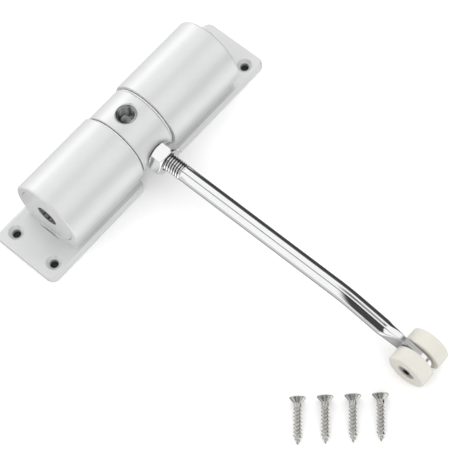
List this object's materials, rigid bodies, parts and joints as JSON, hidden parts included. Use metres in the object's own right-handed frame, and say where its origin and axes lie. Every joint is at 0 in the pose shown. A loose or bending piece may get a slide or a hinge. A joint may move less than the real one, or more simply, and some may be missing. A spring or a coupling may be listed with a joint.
{
  "type": "door closer",
  "caption": "Surface-mounted spring door closer: spring barrels on a screw flange, a turning drum between them and a bent rod arm that ends in rollers.",
  "frame": {"origin": "middle of the four fixing holes, in the plane of the flange's back, which lies against the door frame", "axes": "+X along the barrels away from the tension adjuster, +Z out of the door frame, and the arm at rest points to -Y"},
  "size_m": [0.142, 0.1875, 0.0347],
  "materials": {
    "silver_paint": "satin",
    "bush_nylon": "matte",
    "black_steel": "satin",
    "spring_steel": "oiled",
    "bare_steel": "turned",
    "chromed_steel": "bright",
    "roller_nylon": "satin",
    "plated_steel": "zinc plated"
  },
  "bodies": {
    "mounting": {"housing": "silver_paint", "end_cap_left": "silver_paint", "end_cap_right": "silver_paint", "bush_left": "bush_nylon", "bush_right": "bush_nylon", "spring_left": "spring_steel", "spring_right": "spring_steel"},
    "arm": {"drum": "silver_paint", "spindle": "bare_steel", "drum_pin": "bare_steel", "arm_rod": "chromed_steel", "lock_nut": "chromed_steel", "roller_axle": "chromed_steel"},
    "front_roller": {"roller_front": "roller_nylon"},
    "rear_roller": {"roller_rear": "roller_nylon"},
    "adjuster": {"tension_adjuster": "black_steel"},
    "screw_1": {"fixing_screw_1": "plated_steel"},
    "screw_2": {"fixing_screw_2": "plated_steel"},
    "screw_3": {"fixing_screw_3": "plated_steel"},
    "screw_4": {"fixing_screw_4": "plated_steel"}
  },
  "joints": [
    {"name": "arm_swing", "type": "hinge", "parent": "mounting", "child": "arm", "pos_m": [0, 0, 0.0172], "axis": [-1, 0, 0], "range_deg": [-20, 180], "stiffness_Nm_per_rad": 3, "deforming": ["spring_left", "spring_right"]},
    {"name": "front_roller_spin", "type": "hinge", "parent": "arm", "child": "front_roller", "pos_m": [0, -0.16045, 0.00938], "axis": [1, 0, 0], "continuous": true},
    {"name": "rear_roller_spin", "type": "hinge", "parent": "arm", "child": "rear_roller", "pos_m": [0, -0.16045, 0.00938], "axis": [1, 0, 0], "continuous": true},
    {"name": "adjuster_turn", "type": "hinge", "parent": "mounting", "child": "adjuster", "pos_m": [-0.05, 0, 0.0172], "axis": [-1, 0, 0], "range_deg": [0, 270]},
    {"name": "screw_1_lift", "type": "slide", "parent": "mounting", "child": "screw_1", "axis": [0, 0, 1], "range_m": [0, 0.03]},
    {"name": "screw_2_lift", "type": "slide", "parent": "mounting", "child": "screw_2", "axis": [0, 0, 1], "range_m": [0, 0.03]},
    {"name": "screw_3_lift", "type": "slide", "parent": "mounting", "child": "screw_3", "axis": [0, 0, 1], "range_m": [0, 0.03]},
    {"name": "screw_4_lift", "type": "slide", "parent": "mounting", "child": "screw_4", "axis": [0, 0, 1], "range_m": [0, 0.03]}
  ]
}
